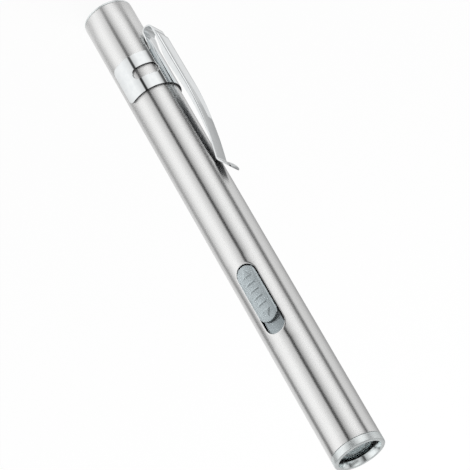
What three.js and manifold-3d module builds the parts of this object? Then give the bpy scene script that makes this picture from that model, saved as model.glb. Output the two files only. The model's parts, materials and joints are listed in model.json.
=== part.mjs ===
// Slide-switch penlight: brushed tube, two cells, slide switch, lit head and a spring pocket clip.
// Millimetres. +Z runs from the tail to the lens, the switch faces -Y and the clip faces -X.
// The origin is the centre of the flat tail face.
import * as THREE from 'three';
import { mergeVertices } from 'three/addons/utils/BufferGeometryUtils.js';
import Module from 'manifold-3d';

const wasm = await Module();
wasm.setup();

// Barrel and the fits inside it; its bore is made to take the cells in their sleeve
const barrelWall = 0.5;
const barrelEdge = 0.12;
const slipFit = 0.2;
const seam = 0.1;
const contactGap = 0.2;
const facets = 64;
const innerFacets = 36;
const curveSteps = 10;
const cutMargin = 1;

// Tail plug and its contact spring
const tailRimHeight = 0.6;
const tailRimInset = 0.05;
const tailRimRound = 0.3;
const plugDepth = 4.2;
const springPocketDepth = 1.2;
const springBossRadius = 1.9;
const springWire = 0.6;
const springTurns = 3;
const springBaseRadius = 3.4;
const springTipRadius = 2;
const springRoom = 3.2;
const springStepsPerTurn = 8;
const wireSides = 5;

// Cells and their sleeve
const cellDiameter = 10.5;
const cellLength = 44.5;
const cellRound = 0.5;
const nubDiameter = 3.8;
const nubHeight = 0.8;
const cellFit = 0.15;
const sleeveWall = 0.9;

// Slot in the barrel and the slider in it
const slotWidth = 5.9;
const slotLength = 21.4;
const slotAheadOfCells = 1.6;
const knobWidth = 5.5;
const knobLength = 17.2;
const knobEndGap = 0.3;
const knobProud = 0.15;
const plateThickness = 0.4;
const plateWidth = 6.9;
const plateCover = 1;
const slideFit = 0.15;
const ribCount = 4;
const ribPitch = 2.13;
const ribLength = 2.3;
const ribWidth = 0.75;
const markHeight = 0.25;
const arrowLength = 2;
const arrowWidth = 2.4;
const arrowSpread = 6.15;

// Switch carrier, contact strips and bridge leaf
const trackEndGap = 0.4;
const trackSideGap = 0.25;
const carrierEndWall = 3.6;
const carrierFrontWall = 2.1;
const bulkheadThickness = 2;
const rivetHeadRadius = 1.7;
const rivetHeadThickness = 0.5;
const rivetShankRadius = 0.8;
const rivetFit = 0.15;
const stripThickness = 0.2;
const stripWidth = 1.1;
const stripSpread = 2.1;
const stripSink = 0.18;
const stripFit = 0.15;
const feedLegReach = 1.2;
const loadLegLength = 2.6;
const leafThickness = 0.2;
const leafWidth = 3;
const leafLength = 6.2;
const leafLift = 0.5;
const leafTailLift = 0.3;
const leafSeatShare = 0.25;
const leafBumpShare = 0.7;
const leafSteps = 12;
const leafFit = 0.2;
const leafBumpBehindStrips = 2.6;

// Light head
const pillLength = 12;
const pillWall = 1;
const pillBoreDepth = 5;
const wireHoleRadius = 0.8;
const driverBoardFit = 0.2;
const driverBoardThickness = 1;
const coilDiameter = 3.4;
const coilHeight = 2.2;
const chipSize = 2.8;
const chipHeight = 1.1;
const chipSpread = 4.4;
const ledBoardFit = 0.4;
const ledBoardThickness = 1.2;
const ledSize = 3.45;
const ledHeight = 0.6;
const domeRadius = 1.45;
const centringRingWidth = 1.5;
const centringRingHeight = 0.8;
const reflectorLength = 9.7;
const reflectorWall = 0.4;
const reflectorSteps = 6;
const emitterHoleRadius = 1.9;
const lensThickness = 1.5;
const lensFit = 0.2;

// Bezel
const bezelHeight = 2;
const bezelRound = 0.8;
const bezelLip = 0.15;
const bezelFace = 1.35;
const lensRecess = 2;
const skirtLength = 3.5;
const skirtWall = 0.55;
const funnelTaper = 0.25;
const gasketThickness = 0.4;
const gasketLip = 0.25;

// Pocket clip
const clipBearing = 180;
const clipSheet = 0.45;
const bandFit = 0.12;
const bandTailEdge = 18.9;
const bandHeight = 11.7;
const bandReach = 127;
const bandCornerRadius = 1.6;
const windowHeight = 3.4;
const windowNearAngle = 27;
const windowFarAngle = 87;
const tabWidth = 5.7;
const armWidth = 5;
const armRise = 4.1;
const hairpinTop = 11.9;
const clipSplit = 15;
const splitGap = 0.35;
const splitCurl = 0.25;
const armStraightEnd = 32;
const armStartHandle = 10;
const armEndHandle = 6.2;
const clipTouch = 57.2;
const clipTouchGap = 0.25;
const clipTipEnd = 61.9;
const tipBendRadius = 1.6;
const approachAngle = 14;
const tipAngle = 28;
const tipNarrowing = 1;
const channelStart = 14.5;
const channelDeepest = 25;
const channelEnd = 50;
const channelDepth = 1.6;
const sheetLip = 0.12;
const shoulderRadius = 1.1;
const edgeRadius = 0.2;
const armCrown = 0.12;
const armSteps = { leg: 2, hairpin: 9, straight: 7, sweep: 12, bend: 4, tip: 4 };

// Radii
const cellRadius = cellDiameter / 2;
const sleeveBore = cellRadius + cellFit;
const fitRadius = sleeveBore + sleeveWall;
const boreRadius = fitRadius + slipFit;
const barrelRadius = boreRadius + barrelWall;
const clearOfBarrel = 2 * barrelRadius;
const plateOuter = boreRadius - slideFit;
const plateInner = plateOuter - plateThickness;
const trackRadius = plateInner - slideFit;
const stripRadius = trackRadius - stripSink;
const pillBore = fitRadius - pillWall;
const knobRadius = barrelRadius + knobProud;
const skirtBore = fitRadius - skirtWall;
const lensRadius = skirtBore - lensFit;
const bezelMouth = barrelRadius - bezelFace;
const bezelThroat = bezelMouth - funnelTaper;
const bandInner = barrelRadius + bandFit;
const bandOuter = bandInner + clipSheet;
const armOuter = barrelRadius + armRise;

// Heights, from the tail forward
const barrelBottom = tailRimHeight + seam;
const plugTop = barrelBottom + plugDepth;
const springSeat = plugTop - springPocketDepth;
const rearCellBottom = plugTop + springRoom;
const frontCellBottom = rearCellBottom + cellLength + seam;
const frontCellTop = frontCellBottom + cellLength;
const bulkheadRear = frontCellTop + contactGap + rivetHeadThickness + seam;
const bulkheadFront = bulkheadRear + bulkheadThickness;
const slotMiddle = frontCellTop + slotAheadOfCells;
const slotRear = slotMiddle - slotLength / 2;
const knobRear = slotRear + knobEndGap;
const knobMiddle = knobRear + knobLength / 2;
const travel = slotLength - knobLength - 2 * knobEndGap;
const plateRear = knobRear - travel - plateCover;
const plateFront = knobRear + knobLength + travel + plateCover;
const trackRear = plateRear - trackEndGap;
const trackFront = plateFront + travel + trackEndGap;
const carrierRear = trackRear - carrierEndWall;
const carrierFront = trackFront + carrierEndWall;
const stripRear = bulkheadRear + seam;
const feedLeg = bulkheadFront + rivetHeadThickness + 2 * contactGap;
const loadLeg = carrierFront + contactGap;
const pillRear = loadLeg + stripThickness + contactGap;
const pillFront = pillRear + pillLength;
const driverBoardRear = pillRear + contactGap;
const driverBoardFront = driverBoardRear + driverBoardThickness;
const ledBoardRear = pillFront + seam;
const ledBoardFront = ledBoardRear + ledBoardThickness;
const ledRear = ledBoardFront + seam;
const ringRear = ledBoardFront + seam;
const reflectorRear = ringRear + centringRingHeight + seam;
const reflectorFront = reflectorRear + reflectorLength;
const lensRear = reflectorFront + seam;
const lensFront = lensRear + lensThickness;
const bezelFront = lensFront + lensRecess;
const bezelRear = bezelFront - bezelHeight;
const barrelTop = bezelRear - seam;
const gasketRear = lensFront + seam;
const gasketFront = gasketRear + gasketThickness;

function solidOf(geometry) {
  const bare = geometry.clone();
  bare.deleteAttribute('normal');
  bare.deleteAttribute('uv');
  const merged = mergeVertices(bare, 1e-4);
  const corners = [];
  const index = merged.index.array;
  for (let i = 0; i < index.length; i += 3) {
    const [a, b, c] = [index[i], index[i + 1], index[i + 2]];
    if (a !== b && b !== c && c !== a) corners.push(a, b, c);
  }
  const vertProperties = new Float32Array(merged.attributes.position.array);
  const triVerts = new Uint32Array(corners);
  return new wasm.Manifold(new wasm.Mesh({ numProp: 3, vertProperties, triVerts }));
}

function geometryOf(solid) {
  const mesh = solid.getMesh();
  const geometry = new THREE.BufferGeometry();
  geometry.setAttribute('position', new THREE.BufferAttribute(mesh.vertProperties, 3));
  geometry.setIndex(new THREE.BufferAttribute(mesh.triVerts, 1));
  return geometry;
}

function cut(geometry, ...tools) {
  const body = tools.reduce((solid, tool) => solid.subtract(solidOf(tool)), solidOf(geometry));
  return geometryOf(body);
}

function join(geometry, ...others) {
  const body = others.reduce((solid, other) => solid.add(solidOf(other)), solidOf(geometry));
  return geometryOf(body);
}

function common(geometry, other) {
  return geometryOf(solidOf(geometry).intersect(solidOf(other)));
}

// A turned solid from [radius, height] pairs, listed outwards along the bottom and up the outside.
function turned(profile, segments = innerFacets) {
  const points = profile.map(([radius, height]) => new THREE.Vector2(radius, height));
  return new THREE.LatheGeometry(points, segments).rotateX(Math.PI / 2);
}

function disc(radius, bottom, top, segments = innerFacets) {
  return turned([[0, bottom], [radius, bottom], [radius, top], [0, top]], segments);
}

function ring(inner, outer, bottom, top, segments = innerFacets) {
  const profile = [[inner, bottom], [outer, bottom], [outer, top], [inner, top], [inner, bottom]];
  return turned(profile, segments);
}

// Points of a quarter round about a centre, from one angle to another in degrees.
function arcPoints(centreRadius, centreHeight, radius, fromAngle, toAngle, steps = 3) {
  const points = [];
  for (let i = 0; i <= steps; i += 1) {
    const angle = THREE.MathUtils.degToRad(THREE.MathUtils.lerp(fromAngle, toAngle, i / steps));
    points.push([centreRadius + radius * Math.cos(angle), centreHeight + radius * Math.sin(angle)]);
  }
  return points;
}

function block(xRange, yRange, zRange) {
  const size = [xRange, yRange, zRange].map(([low, high]) => high - low);
  const middle = [xRange, yRange, zRange].map(([low, high]) => (low + high) / 2);
  return new THREE.BoxGeometry(...size).translate(...middle);
}

// A shape drawn in X and Z, pushed out towards -Y between two distances from the axis.
function frontPrism(shape, near, far) {
  const options = { depth: far - near, bevelEnabled: false, curveSegments: curveSteps };
  return new THREE.ExtrudeGeometry(shape, options).rotateX(Math.PI / 2).translate(0, -near, 0);
}

function stadium(width, length, middle) {
  const radius = width / 2;
  const straight = length / 2 - radius;
  const shape = new THREE.Shape();
  shape.absarc(0, middle + straight, radius, 0, Math.PI, false);
  shape.absarc(0, middle - straight, radius, Math.PI, 2 * Math.PI, false);
  return shape;
}

function polygon(points) {
  return new THREE.Shape(points.map(([x, y]) => new THREE.Vector2(x, y)));
}

function barrelTube() {
  const profile = [
    [boreRadius, barrelBottom],
    [barrelRadius - barrelEdge, barrelBottom],
    [barrelRadius, barrelBottom + barrelEdge],
    [barrelRadius, barrelTop - barrelEdge],
    [barrelRadius - barrelEdge, barrelTop],
    [boreRadius, barrelTop],
    [boreRadius, barrelBottom],
  ];
  const slot = frontPrism(stadium(slotWidth, slotLength, slotMiddle), cellRadius, clearOfBarrel);
  return cut(turned(profile, facets), slot);
}

function tailPlug() {
  const rimRadius = barrelRadius - tailRimInset;
  const pocketRadius = springBaseRadius + springWire;
  return turned([
    [0, 0],
    ...arcPoints(rimRadius - tailRimRound, tailRimRound, tailRimRound, -90, 0),
    [rimRadius, tailRimHeight],
    [fitRadius, tailRimHeight],
    [fitRadius, plugTop],
    [pocketRadius, plugTop],
    [pocketRadius, springSeat],
    [springBossRadius, springSeat],
    [springBossRadius, plugTop],
    [0, plugTop],
  ], facets);
}

// Closes rings of points, all with the same count, into one body with flat ends.
function loft(rings) {
  const count = rings[0].length;
  const positions = rings.flat().flatMap((point) => [point.x, point.y, point.z]);
  const index = [];
  for (let i = 0; i + 1 < rings.length; i += 1) {
    for (let j = 0; j < count; j += 1) {
      const next = (j + 1) % count;
      const [a, b] = [i * count + j, i * count + next];
      index.push(a, b, a + count, b, b + count, a + count);
    }
  }
  return { positions, index, count };
}

function loftGeometry({ positions, index }) {
  const geometry = new THREE.BufferGeometry();
  geometry.setAttribute('position', new THREE.Float32BufferAttribute(positions, 3));
  geometry.setIndex(index);
  return geometry;
}

// Conical contact spring: one unbroken wire, with a straight end at the seat and at the cell.
function springPath() {
  const low = springSeat + springWire / 2 + seam;
  const high = rearCellBottom - springWire / 2 - contactGap;
  const steps = springTurns * springStepsPerTurn;
  const path = [];
  for (let i = 0; i <= steps; i += 1) {
    const angle = (i / springStepsPerTurn) * 2 * Math.PI;
    const radius = THREE.MathUtils.lerp(springBaseRadius, springTipRadius, i / steps);
    const height = THREE.MathUtils.lerp(low, high, i / steps);
    path.push(new THREE.Vector3(radius * Math.cos(angle), radius * Math.sin(angle), height));
  }
  const leadIn = path[0].clone().sub(path[1]).setLength(springWire).add(path[0]);
  const leadOut = path[steps].clone().sub(path[steps - 1]).setLength(springWire).add(path[steps]);
  leadIn.z = low;
  leadOut.z = high;
  return [leadIn, ...path, leadOut];
}

function wireRing(wire, i) {
  const ahead = wire[Math.min(i + 1, wire.length - 1)];
  const behind = wire[Math.max(i - 1, 0)];
  const along = ahead.clone().sub(behind).normalize();
  const out = new THREE.Vector3(wire[i].x, wire[i].y, 0).normalize();
  const side = along.clone().cross(out).normalize();
  const across = side.clone().cross(along);
  return Array.from({ length: wireSides }, (_, j) => {
    const turn = (j / wireSides) * 2 * Math.PI;
    return wire[i].clone()
      .addScaledVector(across, springWire / 2 * Math.cos(turn))
      .addScaledVector(side, springWire / 2 * Math.sin(turn));
  });
}

function tailSpring() {
  const wire = springPath();
  printLeastGap(wire);
  const tube = loft(wire.map((_, i) => wireRing(wire, i)));
  const last = (wire.length - 1) * wireSides;
  for (let j = 1; j + 1 < wireSides; j += 1) {
    tube.index.push(0, j + 1, j);
    tube.index.push(last, last + j, last + j + 1);
  }
  return facingOut(loftGeometry(tube));
}

function printLeastGap(wire) {
  let least = Infinity;
  wire.forEach((point, i) => {
    for (let j = i + Math.ceil(springStepsPerTurn / 2); j < wire.length; j += 1) {
      least = Math.min(least, point.distanceTo(wire[j]) - springWire);
    }
  });
  console.log(`least gap between the turns of the tail spring: ${least.toFixed(2)} mm`);
}

// Turns a closed body's faces over if they point inwards.
function facingOut(geometry) {
  const position = geometry.attributes.position;
  const index = Array.from(geometry.index.array);
  const [a, b, c] = [new THREE.Vector3(), new THREE.Vector3(), new THREE.Vector3()];
  let volume = 0;
  for (let i = 0; i < index.length; i += 3) {
    a.fromBufferAttribute(position, index[i]);
    b.fromBufferAttribute(position, index[i + 1]);
    c.fromBufferAttribute(position, index[i + 2]);
    volume += a.dot(b.cross(c));
  }
  if (volume < 0) index.reverse();
  geometry.setIndex(index);
  return geometry;
}

function cell(bottom) {
  const shoulder = bottom + cellLength - nubHeight;
  const nubRadius = nubDiameter / 2;
  return turned([
    [0, bottom],
    ...arcPoints(cellRadius - cellRound, bottom + cellRound, cellRound, -90, 0, 1),
    ...arcPoints(cellRadius - cellRound, shoulder - cellRound, cellRound, 0, 90, 1),
    [nubRadius, shoulder],
    [nubRadius, bottom + cellLength],
    [0, bottom + cellLength],
  ]);
}

function cellSleeve() {
  return ring(sleeveBore, fitRadius, plugTop + seam, carrierRear - seam);
}

// The two strips lie side by side in the floor of the slider's track.
function stripSpan(side) {
  const middle = side * stripSpread / 2;
  return [middle - stripWidth / 2, middle + stripWidth / 2];
}

function grown([low, high], margin) {
  return [low - margin, high + margin];
}

function switchCarrier() {
  const rivetHole = rivetShankRadius + rivetFit;
  const frontBore = fitRadius - carrierFrontWall;
  const body = turned([
    [sleeveBore, carrierRear],
    [fitRadius, carrierRear],
    [fitRadius, carrierFront],
    [frontBore, carrierFront],
    [frontBore, bulkheadFront],
    [rivetHole, bulkheadFront],
    [rivetHole, bulkheadRear],
    [sleeveBore, bulkheadRear],
    [sleeveBore, carrierRear],
  ]);
  const trackHalf = plateWidth / 2 + trackSideGap;
  const trackBlock = block([-trackHalf, trackHalf], [-clearOfBarrel, 0], [trackRear, trackFront]);
  const track = common(ring(trackRadius, clearOfBarrel, trackRear, trackFront), trackBlock);
  const grooveFloor = -(stripRadius - stripThickness - stripFit);
  const [feed, load] = [-1, 1].map((side) => grown(stripSpan(side), stripFit));
  const feedGroove = block(feed, [-clearOfBarrel, grooveFloor], grown([stripRear, feedLeg], stripFit));
  const feedSlot = block(feed, [-clearOfBarrel, 0], grown([feedLeg, feedLeg + stripThickness], stripFit));
  const loadGroove = block(load, [-clearOfBarrel, grooveFloor], [stripRear - stripFit, pillRear]);
  return cut(body, track, feedGroove, feedSlot, loadGroove);
}

function feedRivet() {
  const headRear = frontCellTop + contactGap;
  const shankRear = headRear + rivetHeadThickness;
  const tail = bulkheadFront + contactGap;
  return turned([
    [0, headRear],
    [rivetHeadRadius, headRear],
    [rivetHeadRadius, shankRear],
    [rivetShankRadius, shankRear],
    [rivetShankRadius, tail],
    [rivetHeadRadius - rivetFit, tail],
    [rivetHeadRadius - rivetFit, tail + rivetHeadThickness],
    [0, tail + rivetHeadThickness],
  ], innerFacets / 2);
}

// A bent strip: a run along the track floor and a leg that turns in towards the axis.
function contactStrip(side, front, legReach) {
  const outer = -stripRadius;
  const inner = outer + stripThickness;
  const run = block(stripSpan(side), [outer, inner], [stripRear, front + stripThickness]);
  const leg = block(stripSpan(side), [outer, legReach], [front, front + stripThickness]);
  return join(run, leg);
}

function feedStrip() {
  return contactStrip(-1, feedLeg, feedLegReach);
}

function loadStrip() {
  return contactStrip(1, loadLeg, -stripRadius + loadLegLength);
}

const leafBump = stripRear - leafBumpBehindStrips;
const leafRear = leafBump - leafLength * leafBumpShare;
const leafFront = leafRear + leafLength;
const leafLow = trackRadius + slideFit;
const leafHigh = leafLow + leafLift;

// Knob and base plate are one moulding, hollow underneath for the bridge leaf.
function switchSlider() {
  const half = plateWidth / 2;
  const plateBlock = block([-half, half], [-clearOfBarrel, 0], [plateRear, plateFront]);
  const plate = common(ring(plateInner, plateOuter, plateRear, plateFront, facets), plateBlock);
  const middleOfPlate = (plateInner + plateOuter) / 2;
  const knob = common(
    frontPrism(stadium(knobWidth, knobLength, knobMiddle), middleOfPlate, clearOfBarrel),
    disc(knobRadius, knobRear - knobEndGap, plateFront, facets),
  );
  const marks = [...grip(), arrow(1), arrow(-1)].map((shape) => common(
    frontPrism(shape, middleOfPlate, clearOfBarrel),
    disc(knobRadius + markHeight, knobRear, plateFront, facets),
  ));
  const leafHalf = leafWidth / 2 + leafFit;
  const roof = leafHigh + leafThickness + leafFit;
  const leafRoom = block([-leafHalf, leafHalf], [-roof, 0], grown([leafRear, leafFront], leafFit));
  return cut(join(plate, knob, ...marks), leafRoom);
}

function grip() {
  return Array.from({ length: ribCount }, (_, i) => {
    const height = knobMiddle + (i - (ribCount - 1) / 2) * ribPitch;
    const [halfLength, halfWidth] = [ribLength / 2, ribWidth / 2];
    return polygon([
      [-halfLength, height - halfWidth],
      [halfLength, height - halfWidth],
      [halfLength, height + halfWidth],
      [-halfLength, height + halfWidth],
    ]);
  });
}

function arrow(way) {
  const middle = knobMiddle + way * arrowSpread;
  const tip = [0, middle + way * arrowLength / 2];
  const base = [-1, 1].map((side) => [side * way * arrowWidth / 2, middle - way * arrowLength / 2]);
  return polygon([base[0], base[1], tip]);
}

// A bowed leaf, drawn as a curve in Z and distance from the axis and given its thickness.
function bridgeLeaf() {
  const curve = new THREE.CatmullRomCurve3([
    new THREE.Vector3(leafRear, leafHigh, 0),
    new THREE.Vector3(leafRear + leafLength * leafSeatShare, leafHigh, 0),
    new THREE.Vector3(leafBump, leafLow, 0),
    new THREE.Vector3(leafFront, leafLow + leafTailLift, 0),
  ]);
  const under = curve.getPoints(leafSteps).map((point) => [point.x, point.y]);
  const over = under.map(([height, distance]) => [height, distance + leafThickness]).reverse();
  const options = { depth: leafWidth, bevelEnabled: false };
  const leaf = new THREE.ExtrudeGeometry(polygon([...under, ...over]), options);
  const place = new THREE.Matrix4().makeBasis(
    new THREE.Vector3(0, 0, 1),
    new THREE.Vector3(0, -1, 0),
    new THREE.Vector3(1, 0, 0),
  );
  return leaf.applyMatrix4(place).translate(-leafWidth / 2, 0, 0);
}

function lightPill() {
  const step = pillRear + pillBoreDepth;
  return turned([
    [pillBore, pillRear],
    [fitRadius, pillRear],
    [fitRadius, pillFront],
    [wireHoleRadius, pillFront],
    [wireHoleRadius, step],
    [pillBore, step],
    [pillBore, pillRear],
  ]);
}

function driverCoil() {
  const base = driverBoardFront + seam;
  const coil = disc(coilDiameter / 2, base, base + coilHeight, innerFacets / 2);
  return coil.translate(-chipSpread / 2, 0, 0);
}

function driverChip() {
  const base = driverBoardFront + seam;
  const middle = chipSpread / 2;
  const half = chipSize / 2;
  return block([middle - half, middle + half], [-half, half], [base, base + chipHeight]);
}

function ledPackage() {
  const half = ledSize / 2;
  return block([-half, half], [-half, half], [ledRear, ledRear + ledHeight]);
}

function ledDome() {
  const base = ledRear + ledHeight + seam;
  return turned([[0, base], ...arcPoints(0, base, domeRadius, 0, 90, 6)], innerFacets / 2);
}

function centringRing() {
  const inner = ledSize * Math.SQRT1_2 + lensFit;
  return ring(inner, inner + centringRingWidth, ringRear, ringRear + centringRingHeight);
}

// Parabolic cup: the bright inner face runs from the emitter hole to the lens.
function reflector() {
  const mouth = lensRadius - reflectorWall;
  const inside = [];
  for (let i = 0; i <= reflectorSteps; i += 1) {
    const share = i / reflectorSteps;
    const radius = Math.sqrt(THREE.MathUtils.lerp(emitterHoleRadius ** 2, mouth ** 2, share));
    inside.push([radius, THREE.MathUtils.lerp(reflectorRear, reflectorFront, share)]);
  }
  const outside = inside.map(([radius, height]) => [radius + reflectorWall, height]);
  return turned([inside[0], ...outside, ...inside.reverse()]);
}

function bezelRing() {
  const seat = gasketFront + seam;
  return turned([
    [skirtBore, bezelRear - skirtLength],
    [fitRadius, bezelRear - skirtLength],
    [fitRadius, bezelRear],
    [barrelRadius, bezelRear],
    ...arcPoints(barrelRadius - bezelRound, bezelFront - bezelRound, bezelRound, 0, 90, 4),
    ...arcPoints(bezelMouth + bezelLip, bezelFront - bezelLip, bezelLip, 90, 180, 2),
    [bezelThroat, seat],
    [skirtBore, seat],
    [skirtBore, bezelRear - skirtLength],
  ], facets);
}

function lensGasket() {
  return ring(bezelThroat - gasketLip, skirtBore - seam, gasketRear, gasketFront);
}

// A wedge from the axis outwards between two bearings in degrees.
function wedge(fromAngle, toAngle, bottom, top) {
  const reach = clearOfBarrel;
  const [from, to] = [fromAngle, toAngle].map(THREE.MathUtils.degToRad);
  const shape = new THREE.Shape();
  shape.moveTo(0, 0);
  shape.lineTo(reach * Math.cos(from), reach * Math.sin(from));
  shape.absarc(0, 0, reach, from, to, false);
  const options = { depth: top - bottom, bevelEnabled: false, curveSegments: curveSteps };
  return new THREE.ExtrudeGeometry(shape, options).translate(0, 0, bottom);
}

// A round pin that points straight out from the axis at a bearing.
function radialPin(radius, angle, height) {
  const pin = new THREE.CylinderGeometry(radius, radius, clearOfBarrel, 2 * curveSteps);
  pin.rotateZ(-Math.PI / 2).translate(barrelRadius + cutMargin, 0, 0);
  return pin.rotateZ(THREE.MathUtils.degToRad(angle)).translate(0, 0, height);
}

function spanAngle(length) {
  return THREE.MathUtils.radToDeg(length / bandOuter);
}

function bandWindow(side) {
  const radius = windowHeight / 2;
  const middle = bandTailEdge + bandHeight / 2;
  const near = windowNearAngle + spanAngle(radius);
  const far = windowFarAngle - spanAngle(radius);
  const [from, to] = side > 0 ? [near, far] : [-far, -near];
  const body = wedge(from, to, middle - radius, middle + radius);
  return join(body, radialPin(radius, from, middle), radialPin(radius, to, middle));
}

// What rounding one corner of the open band takes away.
function bandCorner(side, atTail) {
  const turn = spanAngle(bandCornerRadius);
  const edge = atTail ? bandTailEdge : bandTailEdge + bandHeight;
  const height = atTail ? edge + bandCornerRadius : edge - bandCornerRadius;
  const angle = side * (bandReach - turn);
  const [from, to] = side > 0 ? [angle, bandReach + turn] : [-bandReach - turn, angle];
  const [low, high] = atTail ? [edge - cutMargin, height] : [height, edge + cutMargin];
  return cut(wedge(from, to, low, high), radialPin(bandCornerRadius, angle, height));
}

// One cross-section of the clip's sheet, as a ring of points.
// The station gives the outer face's place and outward normal in the clip's own plane,
// the half width, the depth of the side walls and how far the sheet follows the barrel's curve.
function sheetSection({ place, normal, half, walls, shoulder, curl }) {
  const depth = clipSheet + walls;
  const diagonal = 1 - Math.SQRT1_2;
  const innerHalf = half - clipSheet;
  const faceHalf = half - shoulder;
  const floorHalf = innerHalf - walls / 2;
  const shares = [1 / 3, 2 / 3];
  const oneSide = [
    ...shares.map((share) => [faceHalf * share, 0]),
    [faceHalf, 0],
    [half - shoulder * diagonal, shoulder * diagonal],
    [half, shoulder],
    [half, depth],
    [innerHalf, depth],
    [innerHalf, clipSheet + walls / 2],
    [floorHalf, clipSheet],
    ...shares.map((share) => [floorHalf * (1 - share), clipSheet]),
  ];
  const otherSide = oneSide.map(([across, down]) => [-across, down]).reverse();
  const crown = armCrown * (walls - sheetLip) / (channelDepth - sheetLip);
  const outline = [[0, -crown], ...oneSide, [0, clipSheet], ...otherSide];
  return outline.map(([across, down]) => {
    const bow = bandOuter - Math.sqrt(bandOuter ** 2 - across ** 2);
    const inward = down + curl * bow;
    return new THREE.Vector3(place.x - normal.x * inward, across, place.y - normal.y * inward);
  });
}

function sheetBody(stations) {
  const rings = stations.map(sheetSection);
  const body = loft(rings);
  const outline = sheetSection({
    ...stations[0],
    place: new THREE.Vector2(0, 0),
    normal: new THREE.Vector2(1, 0),
  });
  const flat = outline.map((point) => new THREE.Vector2(-point.y, point.x));
  const last = (rings.length - 1) * body.count;
  THREE.ShapeUtils.triangulateShape(flat, []).forEach(([a, b, c]) => {
    body.index.push(a, c, b);
    body.index.push(last + a, last + b, last + c);
  });
  return facingOut(loftGeometry(body));
}

// Stations of the flat leg that carries on from the band towards the hairpin.
function tabStations() {
  const root = bandTailEdge + clipSheet;
  const end = clipSplit + splitGap;
  return [root, bandTailEdge, (bandTailEdge + end) / 2, end].map((height, i) => ({
    place: new THREE.Vector2(bandOuter, height),
    normal: new THREE.Vector2(1, 0),
    half: tabWidth / 2,
    walls: sheetLip,
    shoulder: edgeRadius,
    curl: [1, 1, (1 + splitCurl) / 2, splitCurl][i],
  }));
}

function clipBand() {
  const bandFront = bandTailEdge + bandHeight;
  const cutHeights = grown([bandTailEdge, bandFront], cutMargin);
  const opening = wedge(bandReach, 360 - bandReach, ...cutHeights);
  const cutters = [opening, bandWindow(1), bandWindow(-1)];
  [1, -1].forEach((side) => cutters.push(bandCorner(side, true), bandCorner(side, false)));
  const band = cut(ring(bandInner, bandOuter, bandTailEdge, bandFront, facets), ...cutters);
  return join(band, sheetBody(tabStations()));
}

// The outer face of the arm from the hairpin to the tip, as curves in radius and height.
function armCurves() {
  const hairpinRadius = (armOuter - bandInner) / 2;
  const middle = new THREE.Vector2(bandInner + hairpinRadius, hairpinTop + hairpinRadius);
  const legStart = new THREE.Vector2(bandInner, clipSplit);
  const legEnd = new THREE.Vector2(bandInner, middle.y);
  const straightStart = new THREE.Vector2(armOuter, middle.y);
  const straightEnd = new THREE.Vector2(armOuter, armStraightEnd);
  return {
    leg: new THREE.LineCurve(legStart, legEnd),
    hairpin: new THREE.EllipseCurve(
      middle.x, middle.y, hairpinRadius, hairpinRadius, Math.PI, 2 * Math.PI, false,
    ),
    straight: new THREE.LineCurve(straightStart, straightEnd),
    ...tipCurves(straightEnd),
  };
}

// The arm's sweep in to the barrel, the bend where it touches and the kicked-out tip.
function tipCurves(start) {
  const touch = new THREE.Vector2(barrelRadius + clipTouchGap + clipSheet, clipTouch);
  const [inAngle, outAngle] = [approachAngle, tipAngle].map(THREE.MathUtils.degToRad);
  const bend = new THREE.EllipseCurve(
    touch.x + tipBendRadius, touch.y, tipBendRadius, tipBendRadius,
    Math.PI + inAngle, Math.PI - outAngle, true,
  );
  const [bendStart, bendEnd] = [bend.getPoint(0), bend.getPoint(1)];
  const inward = new THREE.Vector2(-Math.sin(inAngle), Math.cos(inAngle));
  const sweep = new THREE.CubicBezierCurve(
    start,
    new THREE.Vector2(armOuter, armStraightEnd + armStartHandle),
    bendStart.clone().addScaledVector(inward, -armEndHandle),
    bendStart,
  );
  const tipRun = (clipTipEnd - bendEnd.y) / Math.cos(outAngle);
  const outward = new THREE.Vector2(Math.sin(outAngle), Math.cos(outAngle));
  const tip = new THREE.LineCurve(bendEnd, bendEnd.clone().addScaledVector(outward, tipRun));
  return { sweep, bend, tip };
}

// Depth of the channel's side walls at a height: deepest near the hairpin, fading towards the tip.
function wallDepth(height) {
  const rising = THREE.MathUtils.smoothstep(height, channelStart, channelDeepest);
  const fading = 1 - THREE.MathUtils.clamp((height - channelDeepest) / (channelEnd - channelDeepest), 0, 1);
  return sheetLip + (channelDepth - sheetLip) * Math.min(rising, fading);
}

function armStation(part, curve, share) {
  const place = curve.getPoint(share);
  const along = curve.getTangent(share);
  const onArm = part !== 'leg' && part !== 'hairpin';
  const walls = onArm ? wallDepth(place.y) : sheetLip;
  const deepness = (walls - sheetLip) / (channelDepth - sheetLip);
  const narrowing = onArm ? THREE.MathUtils.smoothstep(place.y, channelStart, channelDeepest) : 0;
  const nearTip = part === 'tip' ? share ** 3 : 0;
  return {
    place,
    normal: new THREE.Vector2(along.y, -along.x),
    half: THREE.MathUtils.lerp(tabWidth, armWidth, narrowing) / 2 - nearTip * tipNarrowing,
    walls,
    shoulder: THREE.MathUtils.lerp(edgeRadius, shoulderRadius, deepness),
    curl: part === 'leg' ? -splitCurl * (1 - share) : 0,
  };
}

function armStations() {
  const stations = [];
  Object.entries(armCurves()).forEach(([part, curve]) => {
    const steps = armSteps[part];
    for (let i = stations.length ? 1 : 0; i <= steps; i += 1) {
      stations.push(armStation(part, curve, i / steps));
    }
  });
  return stations;
}

function clipArm() {
  return sheetBody(armStations());
}

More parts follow.
